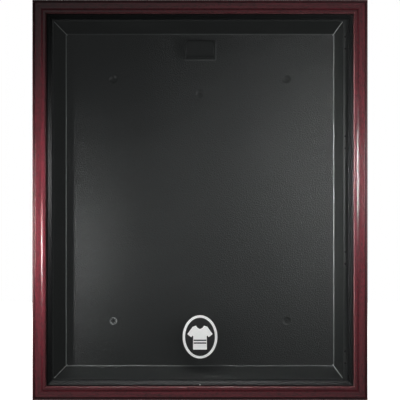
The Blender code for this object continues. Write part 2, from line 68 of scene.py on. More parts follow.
STUD_LOW, STUD_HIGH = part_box("pull_stud")

GAP = 0.0003
DOOR_BACK = -STILE_HIGH.y
RAIL_W = STILE_HIGH.x - STILE_LOW.x
RAIL_D = STILE_HIGH.y - STILE_LOW.y
REBATE_AT = LINER_LOW.x + HALF_W - GAP
REBATE_D = 0.0134
LINER_INNER = LINER_HIGH.x + HALF_W
LINER_H = STILE_HIGH.y - LINER_HIGH.y
TRAY_X, TRAY_Z, TRAY_D = TRAY_HIGH.x, TRAY_HIGH.z, -TRAY_LOW.y
TRAY_T = 0.003
FLOOR_T = 0.004
RIM_W = 0.0285
HINGE_RIM_W = 0.037
WALL_RUN = 0.028
TRAY_CORNER_R = 0.006
TRAY_CORNER_STEPS = 8
FLOOR_X = TRAY_X - RIM_W - WALL_RUN
FLOOR_Z = TRAY_Z - RIM_W - WALL_RUN
HOOK_Z = (HOOK_LOW.z + HOOK_HIGH.z) / 2
HOOK_FLARE = 0.006
HOOK_HALF_W = HOOK_HIGH.x - HOOK_FLARE
HOOK_HALF_H = (HOOK_HIGH.z - HOOK_LOW.z) / 2 - HOOK_FLARE
HEAD_R = 0.0026
HEAD_D = 0.0011
SHANK_R = 0.0015
EMBLEM_X = (EMBLEM_LOW.x + EMBLEM_HIGH.x) / 2
EMBLEM_Z = (EMBLEM_LOW.z + EMBLEM_HIGH.z) / 2


# ---------------------------------------------------------------- finishes
class Value:
    """A socket in a finish. Sums, differences and products of values add their Math nodes."""

    def __init__(self, finish, socket):
        self.finish = finish
        self.socket = socket

    def _math(self, operation, first, second):
        return self.finish.node("ShaderNodeMath", {"operation": operation}, {0: first, 1: second})

    def __add__(self, other):
        return self._math("ADD", self, other)

    def __radd__(self, other):
        return self._math("ADD", other, self)

    def __sub__(self, other):
        return self._math("SUBTRACT", self, other)

    def __rsub__(self, other):
        return self._math("SUBTRACT", other, self)

    def __mul__(self, other):
        return self._math("MULTIPLY", self, other)

    def __rmul__(self, other):
        return self._math("MULTIPLY", other, self)


class Finish:
    """One material, built from nodes."""

    def __init__(self, name):
        self.material = bpy.data.materials.new(name)
        self.material.use_nodes = True
        self.tree = self.material.node_tree
        self.tree.nodes.clear()

    def node(self, kind, settings=None, inputs=None, output=0):
        made = self.tree.nodes.new(kind)
        for key, value in (settings or {}).items():
            if key == "stops":
                self._stops(made.color_ramp, value)
            else:
                setattr(made, key, value)
        for key, value in (inputs or {}).items():
            if isinstance(value, Value):
                self.tree.links.new(value.socket, made.inputs[key])
            else:
                made.inputs[key].default_value = value
        return Value(self, made.outputs[output]) if len(made.outputs) else None

    @staticmethod
    def _stops(ramp, stops):
        ramp.elements[0].position = stops[0][0]
        ramp.elements[1].position = stops[-1][0]
        for position, _ in stops[1:-1]:
            ramp.elements.new(position)
        for element, (_, level) in zip(ramp.elements, stops):
            element.color = (level, level, level, 1.0)

    def place(self, stretch=(1, 1, 1)):
        """The point on the piece, in metres, stretched along its own axes."""
        spot = self.node("ShaderNodeTexCoord", output="Object")
        return self.node("ShaderNodeVectorMath", {"operation": "MULTIPLY"}, {0: spot, 1: stretch})

    def painted(self, name):
        """The level stored on the mesh under this name, point by point."""
        return self.node("ShaderNodeAttribute", {"attribute_name": name}, output="Fac")

    def noise(self, stretch, detail=3.0, rough=0.5, twist=0.0):
        inputs = {"Vector": self.place(stretch), "Scale": 1.0, "Detail": detail}
        inputs.update({"Roughness": rough, "Distortion": twist})
        return self.node("ShaderNodeTexNoise", None, inputs)

    def cells(self, scale, smooth):
        inputs = {"Vector": self.place(), "Scale": scale, "Smoothness": smooth}
        return self.node("ShaderNodeTexVoronoi", {"feature": "SMOOTH_F1"}, inputs)

    def ramp(self, value, stops):
        return self.node("ShaderNodeValToRGB", {"stops": stops}, {"Fac": value})

    def mix(self, share, first, second):
        def colour(item):
            return item if isinstance(item, Value) else (*item, 1.0)

        inputs = {0: share, 6: colour(first), 7: colour(second)}
        return self.node("ShaderNodeMix", {"data_type": "RGBA"}, inputs, 2)

    def bump(self, height, distance, strength=1.0, under=None):
        inputs = {"Height": height, "Distance": distance, "Strength": strength}
        if under:
            inputs["Normal"] = under
        return self.node("ShaderNodeBump", None, inputs)

    def surface(self, **inputs):
        named = {key.replace("_", " "): value for key, value in inputs.items()}
        return self.node("ShaderNodeBsdfPrincipled", None, named)

    def done(self, shader):
        self.node("ShaderNodeOutputMaterial", None, {"Surface": shader})
        return self.material


def mahogany():
    """Red mahogany stain under satin lacquer, the grain along the piece's own X.

    It is toned darker by "toned", and carries a painted highlight, pale and under duller lacquer, where
    "edge" marks the sight edge; both levels are stored on the timber.
    """
    f = Finish("mahogany_lacquer")
    broad = f.noise((1.6, 22, 22), 2.0, 0.5)
    streak = f.ramp(f.noise((7, 210, 210), 4.0, 0.62, twist=0.3), ((0.36, 0.0), (0.64, 1.0)))
    fleck = f.ramp(f.noise((110, 460, 460), 3.0, 0.6), ((0.50, 0.0), (0.62, 1.0)))
    pores = f.ramp(f.noise((60, 1300, 1300), 2.0, 0.5), ((0.56, 0.0), (0.68, 1.0)))
    stain = f.mix(streak, (0.110, 0.0140, 0.0215), (0.235, 0.0250, 0.0415))
    stain = f.mix(broad * 0.5, stain, (0.130, 0.0150, 0.0215))
    stain = f.mix(fleck * 0.70, stain, (0.055, 0.0125, 0.0145))
    stain = f.mix(pores * 0.60, stain, (0.020, 0.0070, 0.0075))
    toned = f.painted("toned")
    stain = f.mix(toned * 0.50, stain, (0.036, 0.0090, 0.0105))
    # Painted highlight: the sight edge is laid pale in patches, under duller lacquer.
    sight_edge_highlight = f.painted("edge")
    highlight_share = sight_edge_highlight * f.ramp(f.noise((40, 160, 160), 3.0, 0.6), ((0.25, 0.55), (0.65, 1.0)))
    stain = f.mix(highlight_share * 0.80, stain, (0.26, 0.105, 0.110))
    rough = 0.18 + streak * 0.04 + pores * 0.10 + toned * 0.30 + sight_edge_highlight * 0.22
    skin = f.bump(streak * 0.3 - pores, 0.00004)
    skin = f.bump(f.noise((12, 60, 60), 2.0), 0.00005, under=skin)
    lacquer = 0.95 - toned * 0.85 - sight_edge_highlight * 0.75
    under = {"Base_Color": stain, "Roughness": rough, "Normal": skin, "Specular_IOR_Level": 0.45}
    return f.done(f.surface(**under, Coat_Weight=lacquer, Coat_Roughness=0.14))


def bare_beech():
    """Unfinished beech with its short dark flecks."""
    f = Finish("bare_beech")
    streak = f.noise((14, 240, 240), 4.0, 0.6)
    fleck = f.ramp(f.noise((160, 900, 900), 2.0), ((0.58, 0.0), (0.70, 1.0)))
    colour = f.mix(streak, (0.50, 0.33, 0.19), (0.62, 0.45, 0.28))
    colour = f.mix(fleck * 0.5, colour, (0.33, 0.19, 0.10))
    rough = 0.6 + fleck * 0.1
    return f.done(f.surface(Base_Color=colour, Roughness=rough, Normal=f.bump(streak, 0.0001)))


def moulded_plastic(name, pebbled):
    """Black moulded plastic with painted highlights along the edges its mesh marks: smooth, or pebbled on the
    flat of the tray's floor.
    """
    shade, dull, gloss = (1.0, 0.27, 0.68) if pebbled else (0.55, 0.16, 0.36)
    f = Finish(name)
    fine = f.noise((1400, 1400, 1400), 2.0)
    mottle = f.noise((120, 120, 120), 3.0, 0.6)
    cloud = f.noise((5, 5, 5), 2.0)
    black = [shade * c for c in (0.0080, 0.0092, 0.0092)]
    grey = [shade * c for c in (0.0140, 0.0158, 0.0152)]
    colour = f.mix(mottle, black, grey)
    colour = f.mix(f.ramp(fine, ((0.60, 0.0), (0.75, 1.0))) * 0.35, colour, (0.026, 0.027, 0.027))
    rough = dull + mottle * 0.05 + cloud * 0.04
    grain = f.bump(fine, 0.00010, 0.5)
    if pebbled:
        forward = f.node("ShaderNodeSeparateXYZ", None, {"Vector": f.place()}, output=1)
        off_flat = f.node("ShaderNodeMath", {"operation": "ABSOLUTE"}, {0: forward + FLOOR_T})
        flat = f.node("ShaderNodeMapRange", None, {0: off_flat, 1: 0.0001, 2: 0.0005, 3: 1.0, 4: 0.0})
        pebble = f.cells(380.0, 0.35)
        grain = f.bump((pebble + fine * 0.2) * flat, 0.0012, 0.75, under=grain)
        pebbles = f.mix(pebble, (0.0100, 0.0116, 0.0114), (0.0015, 0.0019, 0.0019))
        colour = f.mix(flat * 0.75, colour, pebbles)
    # Painted highlight: a pale grey laid in patches where the mesh marks it.
    highlight_share = f.painted("scuff") * (0.55 + f.noise((90, 90, 90), 3.0, 0.6) * 0.6)
    colour = f.mix(highlight_share, colour, (0.80, 0.82, 0.81))
    return f.done(f.surface(Base_Color=colour, Roughness=rough, Normal=grain, Specular_IOR_Level=gloss))


def satin_black():
    """Smooth black strip with light rubbing along its length."""
    f = Finish("satin_black_strip")
    rub = f.noise((8, 700, 700), 3.0, 0.6)
    dust = f.ramp(f.noise((420, 420, 420), 2.0), ((0.62, 0.0), (0.74, 1.0)))
    colour = f.mix(rub, (0.007, 0.007, 0.008), (0.014, 0.014, 0.014))
    colour = f.mix(dust * 0.3, colour, (0.05, 0.05, 0.048))
    rough = 0.24 + rub * 0.08
    return f.done(f.surface(Base_Color=colour, Roughness=rough, Normal=f.bump(rub, 0.00002)))


def clear_acrylic():
    """Clear sheet: straight through, with its gloss laid on its outer side, more at a slant."""
    f = Finish("clear_acrylic_sheet")
    ripple = f.bump(f.noise((7, 7, 7), 1.0), 0.0010, 0.25)
    polish = {"Color": (0.9, 0.92, 0.92, 1), "Roughness": 0.03, "Normal": ripple}
    gloss = f.node("ShaderNodeBsdfGlossy", None, polish)
    through = f.node("ShaderNodeBsdfTransparent", None, {"Color": (0.975, 0.982, 0.98, 1)})
    fresnel = f.node("ShaderNodeFresnel", None, {"IOR": 1.49})
    smear = f.ramp(f.noise((9, 9, 26), 4.0, 0.6), ((0.50, 0.0), (0.80, 1.0)))
    inside = f.node("ShaderNodeNewGeometry", output="Backfacing")
    share = (fresnel + smear * 0.01) * (1 - inside)
    return f.done(f.node("ShaderNodeMixShader", None, {0: share, 1: through, 2: gloss}))


def ink(name, colour, other, glow=0.0):
    """Screen-printed ink, a little uneven in body and gloss, with an optional glow that is painted light."""
    f = Finish(name)
    body = f.noise((900, 900, 900), 3.0, 0.6)
    cover = f.noise((60, 60, 60), 2.0)
    shade = f.mix(body * 0.5 + cover * 0.4, colour, other)
    printed = {"Base_Color": shade, "Roughness": 0.38 + body * 0.15, "Normal": f.bump(body, 0.00003)}
    return f.done(f.surface(**printed, Emission_Color=(*colour, 1.0), Emission_Strength=glow))


def blacked_steel(name, shade, gloss):
    """Black enamelled steel, chipped bright in places."""
    f = Finish(name)
    orange_peel = f.noise((1500, 1500, 1500), 2.0)
    chip = f.ramp(f.noise((300, 300, 300), 5.0, 0.7), ((0.66, 0.0), (0.70, 1.0)))
    dark, light = 0.020 * shade, 0.036 * shade
    colour = f.mix(orange_peel, (dark, dark, dark), (light, light, light))
    colour = f.mix(chip, colour, (0.30, 0.29, 0.28))
    enamel = {"Base_Color": colour, "Roughness": 0.42 - chip * 0.12, "Metallic": chip * 0.9}
    skin = f.bump(orange_peel - chip * 0.6, 0.00006)
    return f.done(f.surface(**enamel, Normal=skin, Specular_IOR_Level=gloss))


def plated_steel(name, light, dark, rough):
    """Plated metal with fine brushing and a few dull spots."""
    f = Finish(name)
    brushed = f.noise((2600, 240, 2600), 3.0, 0.6)
    spots = f.ramp(f.noise((700, 700, 700), 3.0, 0.6), ((0.58, 0.0), (0.70, 1.0)))
    colour = f.mix(brushed * 0.6, light, dark)
    colour = f.mix(spots * 0.5, colour, dark)
    plate = {"Base_Color": colour, "Metallic": 1.0, "Roughness": rough + spots * 0.18}
    return f.done(f.surface(**plate, Normal=f.bump(brushed, 0.00003)))


MAHOGANY = mahogany()
BEECH = bare_beech()
PEBBLED = moulded_plastic("pebbled_black_plastic", True)
SMOOTH = moulded_plastic("smooth_black_plastic", False)
STRIP = satin_black()
ACRYLIC = clear_acrylic()
# The white print is given a faint glow of its own: painted light.
WHITE_INK = ink("white_print", (0.90, 0.90, 0.89), (0.76, 0.76, 0.75), 0.22)
BLACK_INK = ink("black_print", (0.012, 0.012, 0.013), (0.03, 0.03, 0.03))
ENAMEL = blacked_steel("blacked_steel_leaf", 1.0, 0.5)
BLACK_SCREW = blacked_steel("blacked_steel_screw", 0.12, 0.06)
ZINC = plated_steel("zinc_plated_steel", (0.72, 0.72, 0.71), (0.44, 0.44, 0.43), 0.34)
SATIN_STEEL = plated_steel("satin_steel_stud", (0.92, 0.92, 0.91), (0.78, 0.78, 0.77), 0.42)
NICKEL = plated_steel("nickel_plated_magnet", (0.62, 0.60, 0.56), (0.38, 0.36, 0.33), 0.20)


# ---------------------------------------------------------------- shape tools
def rounded(points, steps=4):
    """A path of (a, b, radius) with an arc of that radius at each point."""
    path = []
    for i, (a, b, radius) in enumerate(points):
        here = Vector((a, b))
        if not radius:
            path.append((a, b))
            continue
        back = (Vector(points[i - 1][:2]) - here).normalized()
        on = (Vector(points[(i + 1) % len(points)][:2]) - here).normalized()
        half = back.angle(on) / 2
        centre = here + (back + on).normalized() * radius / math.sin(half)
        start = here + back * radius / math.tan(half) - centre
        end = here + on * radius / math.tan(half) - centre
        sweep = start.angle_signed(end)
        for k in range(steps + 1):
            turn = -sweep * k / steps
            c, s = math.cos(turn), math.sin(turn)
            path.append((centre.x + c * start.x - s * start.y, centre.y + s * start.x + c * start.y))
    return path


def mesh_of(bm, name, sharp=35):
    """The finished mesh, smooth but for edges turned by more than this many degrees."""
    bmesh.ops.recalc_face_normals(bm, faces=bm.faces)
    mesh = bpy.data.meshes.new(name)
    bm.to_mesh(mesh)
    bm.free()
    mesh.shade_smooth()
    mesh.set_sharp_from_angle(angle=math.radians(sharp))
    return mesh


def place(name, mesh, finish=None, location=(0, 0, 0), rotation=(0, 0, 0)):
    obj = bpy.data.objects.new(name, mesh)
    bpy.context.scene.collection.objects.link(obj)
    if finish and not mesh.materials:
        mesh.materials.append(finish)
    obj.location = location
    obj.rotation_euler = rotation
    return obj


def paint(mesh, name, levels):
    """Stores a level at each point of the mesh, for a finish to read."""
    mesh.attributes.new(name, "FLOAT", "POINT").data.foreach_set("value", levels)


def centre_of(node, y=None):
    """The middle of a node's box, or the point of its own middle line at this depth."""
    low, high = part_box(node)
    middle = (low + high) / 2
    return Vector((middle.x, middle.y if y is None else y, middle.z))


def strip_between(bm, one, other):
    for k in range(len(one)):
        on = (k + 1) % len(one)
        bm.faces.new((one[k], one[on], other[on], other[k]))


def skin_over(bm, rings):
    """A closed solid through these rings of points, in order."""
    for one, other in zip(rings, rings[1:]):
        strip_between(bm, one, other)
    bm.faces.new(rings[0])
    bm.faces.new(rings[-1])


def box_bmesh(low, high):
    bm = bmesh.new()
    bmesh.ops.create_cube(bm, size=1.0)
    for vert in bm.verts:
        vert.co = [start + (end - start) * (c + 0.5) for start, end, c in zip(low, high, vert.co)]
    return bm


def turned(name, profile, segments=32, sharp=35):
    """A solid turned about +Z from (radius, z) points; it starts and ends on the axis."""
    bm = bmesh.new()
    rings = []
    for radius, z in profile:
        count = segments if radius > 0 else 1
        turns = [math.tau * k / count for k in range(count)]
        rings.append([bm.verts.new((radius * math.cos(turn), radius * math.sin(turn), z)) for turn in turns])
    for lower, upper in zip(rings, rings[1:]):
        for k in range(segments):
            corners = [lower[k % len(lower)], lower[(k + 1) % len(lower)]]
            corners += [upper[(k + 1) % len(upper)], upper[k % len(upper)]]
            bm.faces.new(list(dict.fromkeys(corners)))
    return mesh_of(bm, name, sharp)


def carved(obj, cutters, operation="DIFFERENCE", sharp=35):
    """The object with all the cutters taken out of it, or joined to it, and the cutters removed."""
    tools = bmesh.new()
    for cutter in cutters:
        cutter.data.transform(cutter.matrix_basis)
        tools.from_mesh(cutter.data)
        bpy.data.objects.remove(cutter)
    tool = place("tool", mesh_of(tools, "tool"))
    cut = obj.modifiers.new("cut", "BOOLEAN")
    cut.object = tool
    cut.operation = operation
    cut.solver = "EXACT"
    cut.use_self = True
    bpy.context.view_layer.update()
    graph = bpy.context.evaluated_depsgraph_get()
    mesh = bpy.data.meshes.new_from_object(obj.evaluated_get(graph))
    obj.modifiers.clear()
    obj.data = mesh
    bpy.data.objects.remove(tool)
    mesh.shade_smooth()
    mesh.set_sharp_from_angle(angle=math.radians(sharp))
    return obj


def soften(obj, width, segments=2, angle=30):
    """Small round edges, with the flats kept flat."""
    bevel = obj.modifiers.new("edges", "BEVEL")
    bevel.width = width
    bevel.segments = segments
    bevel.limit_method = "ANGLE"
    bevel.angle_limit = math.radians(angle)
    bevel.harden_normals = True
    return obj


def level_shading(obj):
    """Keeps the shading of broad faces level up to their softened edges."""
    even = obj.modifiers.new("shading", "WEIGHTED_NORMAL")
    even.keep_sharp = True
    even.weight = 100
    return obj


def stands_for(obj, node, body):
    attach(obj, body)
    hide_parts(node)
    return obj


# ---------------------------------------------------------------- door timber and liner
def timber_section():
    """Section of the moulding: (inward from the outer edge, forward of the door's back)."""
    fillet = RAIL_D - 0.0028
    quirk = RAIL_D - 0.0042
    return rounded(
        [
            (0, 0, 0.0006),
            (0, fillet, 0.0012),
            (0.0055, fillet, 0.0006),
            (0.0061, quirk, 0.0002),
            (0.0071, quirk, 0.0002),
            (0.0077, RAIL_D - 0.0003, 0.0006),
            (0.0228, RAIL_D - 0.0010, 0.0025),
            (0.0272, RAIL_D, 0.0060),
            (RAIL_W, RAIL_D, 0.0042),
            (RAIL_W, REBATE_D, 0.0004),
            (REBATE_AT, REBATE_D, 0.0003),
            (REBATE_AT, 0, 0.0004),
        ],
        7,
    )


def liner_section():
    """Section of the black strip that edges the sight opening."""
    outer, flange = REBATE_AT + GAP, REBATE_D - GAP
    step = RAIL_W + GAP
    ledge = flange + 0.0022
    return rounded(
        [
            (outer, LINER_H, 0),
            (outer, flange, 0),
            (step, flange, 0),
            (step, ledge, 0.0003),
            (step + 0.0012, ledge, 0.0003),
            (step + 0.0026, ledge + 0.0024, 0.0009),
            (LINER_INNER, flange - 0.0008, 0.0005),
            (LINER_INNER, LINER_H, 0),
        ],
        5,
    )


def paint_timber(mesh, section):
    """Marks the sight edge for its painted highlight and the toned outer step, ring by ring of the section.
    """
    front = max(h for _, h in section)
    rings = len(mesh.vertices) // len(section)
    paint(mesh, "edge", [float(u > RAIL_W - 0.0016 and front - 0.0062 < h) for u, h in section] * rings)
    paint(mesh, "toned", [float(u < 0.0066) for u, _ in section] * rings)


def mitred(name, section, half_length, half_span, finish, turn):
    """A strip with this section along X, mitred at both ends with a hair of chamfer, turned to its side."""
    bm = bmesh.new()
    trim = GAP / 10
    chamfer = 0.0004
    points = len(section)
    middle = Vector((sum(u for u, _ in section) / points, sum(h for _, h in section) / points))
    rings = []
    for sign, inset in ((-1, 1), (-1, 0), (1, 0), (1, 1)):
        ring = []
        for u, h in section:
            shrink = (middle - Vector((u, h))).normalized() * chamfer * inset
            u, h = u + shrink.x, h + shrink.y
            away = 0.0 if inset else chamfer
            ring.append(bm.verts.new((sign * (half_length - u - trim - away), -h, u - half_span)))
        rings.append(ring)
    skin_over(bm, rings)
    return place(name, mesh_of(bm, name, 40), finish, (0, -DOOR_BACK, 0), (0, turn, 0))


# each side: half its length, half the span across to the far side, and its turn from the bottom
SIDES = {
    "rail_bottom": (HALF_W, HALF_H, 0.0),
    "stile_left": (HALF_H, HALF_W, math.pi / 2),
    "rail_top": (HALF_W, HALF_H, math.pi),
    "stile_right": (HALF_H, HALF_W, -math.pi / 2),
}


def magnet_pocket(node):
    """A round cutter a little wider than the magnet, from behind the door into the stile."""
    low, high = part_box(node)
    radius = (high.x - low.x) / 2 + 0.00015
    depth = high.y - low.y + GAP
    over = 0.001
    mesh = turned("pocket", [(0, over), (radius, over), (radius, -depth), (0, -depth)])
    return place("pocket", mesh, None, centre_of(node, y=high.y), (-math.pi / 2, 0, 0))


def door_frame():
    """Four mahogany sides and the four black strips inside them, in place of the plain ones."""
    for node, (half_length, half_span, turn) in SIDES.items():
        side = node.split("_")[1]
        timber = mitred(f"mahogany_{node}", timber_section(), half_length, half_span, MAHOGANY, turn)
        paint_timber(timber.data, timber_section())
        if side == "left":
            carved(timber, [magnet_pocket("catch_magnet_upper"), magnet_pocket("catch_magnet_lower")])
        level_shading(timber)
        stands_for(timber, node, "door")
        liner = mitred(f"black_liner_{side}", liner_section(), half_length, half_span, STRIP, turn)
        level_shading(liner)
        stands_for(liner, f"liner_{side}", "door")


# ---------------------------------------------------------------- clear sheet and emblem
def clear_sheet():
    """The clear sheet with its sawn edges eased."""
    bm = box_bmesh(PANEL_LOW, PANEL_HIGH)
    bmesh.ops.bevel(bm, geom=bm.edges[:], offset=0.0004, segments=2, profile=0.5, affect="EDGES")
    sheet = place("clear_front_sheet", mesh_of(bm, "clear_front_sheet"), ACRYLIC)
    level_shading(sheet)
    stands_for(sheet, "clear_panel", "door")


def printed_plate(name, outline, level, finish):
    """A flat layer of ink with this outline; level 0 lies on the sheet and each next one on the last."""
    thick = 0.00008
    back = EMBLEM_HIGH.y - level * thick
    bm = bmesh.new()
    rings = []
    for y in (back, back - thick):
        rings.append([bm.verts.new((x, y, z)) for x, z in outline])
    strip_between(bm, *rings)
    for ring in rings:
        bmesh.ops.triangle_fill(bm, edges=[e for e in bm.edges if all(v in ring for v in e.verts)])
    return place(name, mesh_of(bm, name), finish)


def oval(inset):
    """Outline of the emblem's oval, this far inside its edge."""
    half_w = (EMBLEM_HIGH.x - EMBLEM_LOW.x) / 2 - inset
    half_h = (EMBLEM_HIGH.z - EMBLEM_LOW.z) / 2 - inset
    count = 96
    turns = [math.tau * k / count for k in range(count)]
    return [(EMBLEM_X + half_w * math.cos(turn), EMBLEM_Z + half_h * math.sin(turn)) for turn in turns]


def on_emblem(points):
    """An outline of (x, z, radius) points measured from the emblem's centre."""
    return [(EMBLEM_X + x, EMBLEM_Z + z) for x, z in rounded(points)]


def emblem():
    """A plain oval badge with the outline of a short-sleeved shirt on it."""
    border = printed_plate("emblem_black_border", oval(0), 0, BLACK_INK)
    ring = printed_plate("emblem_white_ring", oval(0.003), 1, WHITE_INK)
    field = printed_plate("emblem_black_field", oval(0.0095), 2, BLACK_INK)
    right = [
        (0.0000, 0.0200, 0.0),
        (0.0065, 0.0235, 0.0020),
        (0.0105, 0.0290, 0.0010),
        (0.0190, 0.0262, 0.0030),
        (0.0330, 0.0070, 0.0012),
        (0.0225, -0.0010, 0.0012),
        (0.0175, 0.0055, 0.0012),
        (0.0180, -0.0330, 0.0015),
    ]
    left = [(-x, z, radius) for x, z, radius in reversed(right[1:])]
    shirt = printed_plate("emblem_white_shirt", on_emblem([*right, *left]), 3, WHITE_INK)
    pieces = [border, ring, field, shirt]
    half_band, reach, corner = 0.0017, 0.0165, 0.0004
    for k, z in enumerate((-0.0090, -0.0160)):
        low, high = z - half_band, z + half_band
        corners = ((-reach, low), (reach, low), (reach, high), (-reach, high))
        band = on_emblem([(x, level, corner) for x, level in corners])
        pieces.append(printed_plate(f"emblem_black_band_{k + 1}", band, 4, BLACK_INK))
    for piece in pieces:
        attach(piece, "door")
    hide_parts("front_emblem")


# ---------------------------------------------------------------- backing tray and hook
def hinge_extra(inward, y):
    """How much further in the hinge side's wall stands; it meets the floor where the others do."""
    if inward < RIM_W / 2:
        return 0.0
    return (HINGE_RIM_W - RIM_W) * max(0.0, (-y - FLOOR_T) / (TRAY_D - FLOOR_T))


def wall_line(y):
    """Distance inward from the tray's outer face to the front of a sloped wall."""
    return RIM_W + WALL_RUN * (TRAY_D + y) / (TRAY_D - FLOOR_T)


def tray_ring(bm, inward, y):
    """One ring of the tray's skin, its corners rounded, this far in and at this depth."""
    left, right = inward - TRAY_X, TRAY_X - inward - hinge_extra(inward, y)
    top = TRAY_Z - inward
    ring = []
    for quarter, (x, z) in enumerate(((right, top), (left, top), (left, -top), (right, -top))):
        mid_x = x - math.copysign(TRAY_CORNER_R, x)
        mid_z = z - math.copysign(TRAY_CORNER_R, z)
        for k in range(TRAY_CORNER_STEPS + 1):
            turn = (quarter + k / TRAY_CORNER_STEPS) * math.pi / 2
            point = (mid_x + TRAY_CORNER_R * math.cos(turn), y, mid_z + TRAY_CORNER_R * math.sin(turn))
            ring.append(bm.verts.new(point))
    return ring


def tray_shell():
    """The tray's skin: skirt, flat rim, sloped walls and floor, with the channel behind the rim."""
    across_wall = TRAY_T / math.cos(math.atan2(WALL_RUN, TRAY_D - FLOOR_T))
    floor_edge = wall_line(-FLOOR_T)
    rim_back = TRAY_T - TRAY_D
    front = rounded(
        [
            (0, 0, 0),
            (0, -TRAY_D, 0.0018),
            (RIM_W, -TRAY_D, 0.0007),
            (floor_edge, -FLOOR_T, 0.0050),
            (floor_edge + 0.012, -FLOOR_T, 0),
        ],
        8,
    )
    back = [
        (TRAY_T, 0),
        (TRAY_T, rim_back),
        (wall_line(rim_back) - across_wall, rim_back),
        (wall_line(0) - across_wall, 0),
    ]
    bm = bmesh.new()
    path = [*reversed(front), *back]
    skin_over(bm, [tray_ring(bm, inward, y) for inward, y in path])
    mesh = mesh_of(bm, "moulded_back_tray", 50)
    # Painted highlights along the floor's edge and up the corners of the walls.
    paint(mesh, "scuff", [level for inward, y in path for level in tray_painted_highlight(inward, y)])
    return mesh


def tray_painted_highlight(inward, y):
    """How much painted highlight one ring of the tray takes, point by point: along the floor's edge, more
    where it runs upright, and up the middle of each corner.
    """
    on_wall = RIM_W < inward < wall_line(-FLOOR_T) + 0.001 and y < -FLOOR_T
    on_fillet = on_wall and y > -FLOOR_T - 0.0022
    levels = []
    for corner in range(4):
        for k in range(TRAY_CORNER_STEPS + 1):
            share = k / TRAY_CORNER_STEPS
            upright = share if corner % 2 else 1 - share
            level = 0.12 + 0.33 * upright if on_fillet else 0.0
            levels.append(1.0 if on_wall and k == TRAY_CORNER_STEPS // 2 else level)
    return levels


def tray_ribs():
    """Ribs across the channel behind the rim, on all four sides."""
    thick, pitch, setback = 0.0025, 0.150, 0.006
    into = TRAY_T / 2 / math.cos(math.atan2(WALL_RUN, TRAY_D - FLOOR_T))
    top, foot = -(TRAY_D - TRAY_T / 2), -setback
    outer = [(TRAY_T / 2, foot), (TRAY_T / 2, top)]
    section = [*outer, (wall_line(top) - into, top), (wall_line(foot) - into, foot)]
    ribs = []
    for side in ("left", "right", "bottom", "top"):
        upright = side in ("left", "right")
        sign = 1 if side in ("right", "top") else -1
        reach, along = (TRAY_X, FLOOR_Z) if upright else (TRAY_Z, FLOOR_X)
        outline = []
        for inward, y in section:
            extra = hinge_extra(inward, y) if side == "right" else 0.0
            outline.append((sign * (reach - inward - extra), y))
        count = round(2 * along / pitch)
        for k in range(count):
            at = ((k + 0.5) / count * 2 - 1) * along
            bm = bmesh.new()
            ends = []
            for t in (at - thick / 2, at + thick / 2):
                ends.append([bm.verts.new((a, y, t) if upright else (t, y, a)) for a, y in outline])
            skin_over(bm, ends)
            ribs.append(place("rib", mesh_of(bm, "rib")))
    return ribs


def wall_fixings():
    """Soft-edged countersunk dishes, each with a clear hole at its centre."""
    dish_r, dish_d, hole_r, over = 0.012, 0.0026, 0.00225, 0.002
    fix_x, fix_z = FLOOR_X - 0.124, FLOOR_Z - 0.118
    below_hook = HOOK_Z - 0.114
    places = [(-fix_x, -fix_z), (-fix_x, fix_z), (fix_x, -fix_z), (fix_x, fix_z), (0, below_hook)]
    side = rounded(
        [
            (dish_r + 0.004, over, 0),
            (dish_r, 0.0, 0.0),
            (dish_r * 0.80, -0.0004, 0.0030),
            (dish_r * 0.45, -dish_d, 0.0018),
            (hole_r, -dish_d, 0.0003),
            (hole_r, -FLOOR_T - over, 0),
        ],
        5,
    )
    profile = [(0, over), *side, (0, -FLOOR_T - over)]
    dishes = []
    for x, z in places:
        dishes.append(place("dish", turned("dish", profile, 40), None, (x, -FLOOR_T, z), (math.pi / 2, 0, 0)))
    return dishes


def screw_seat(node):
    """A cutter for one of the hook's screws, whose countersunk head lies flush with the tray's back."""
    over, length, clear = 0.001, 0.013, 0.00015
    head_r, shank_r = HEAD_R + clear, SHANK_R + clear
    profile = [(0, over), (head_r + over, over), (head_r, 0), (shank_r, -HEAD_D - clear)]
    profile += [(shank_r, -length), (0, -length)]
    return place("seat", turned("seat", profile, 24), None, centre_of(node, y=0.0), (-math.pi / 2, 0, 0))


def backing_tray():
    """The moulded tray, ribbed behind its rim and pierced for its fixings and the hook's screws."""
    tray = place("moulded_back_tray", tray_shell(), PEBBLED)
    carved(tray, tray_ribs(), "UNION", 50)
    seats = [screw_seat("hook_screw_left"), screw_seat("hook_screw_right")]
    carved(tray, [*wall_fixings(), *seats], sharp=50)
    level_shading(tray)
    stands_for(tray, "back_tray", "case")


def hook_ring(bm, out, grow):
    """One outline of the hook, this far out from the floor and this much larger all round."""
    half, top, foot = HOOK_HALF_W + grow, HOOK_HALF_H + grow, -HOOK_HALF_H - grow
    corners = [(half, top, 0.010), (-half, top, 0.010), (-half, foot, 0.003), (half, foot, 0.003)]
    return [bm.verts.new((x, -FLOOR_T - out, z)) for x, z in rounded(corners, 8)]


def curl_back(bm, deep):
    """Bends the hook's face back towards its foot, in a smooth curve."""
    levels, drop = 8, 0.0055
    for k in range(1, levels):
        z = HOOK_HALF_H * (1 - 2 * k / levels)
        everything = bm.verts[:] + bm.edges[:] + bm.faces[:]
        bmesh.ops.bisect_plane(bm, geom=everything, plane_co=(0, 0, z), plane_no=(0, 0, 1))
    for vert in bm.verts:
        out = (-FLOOR_T - vert.co.y) / deep
        low = max(0.0, (HOOK_HALF_H - vert.co.z) / (2 * HOOK_HALF_H))
        vert.co.y += drop * low * low * max(0.0, out) ** 2


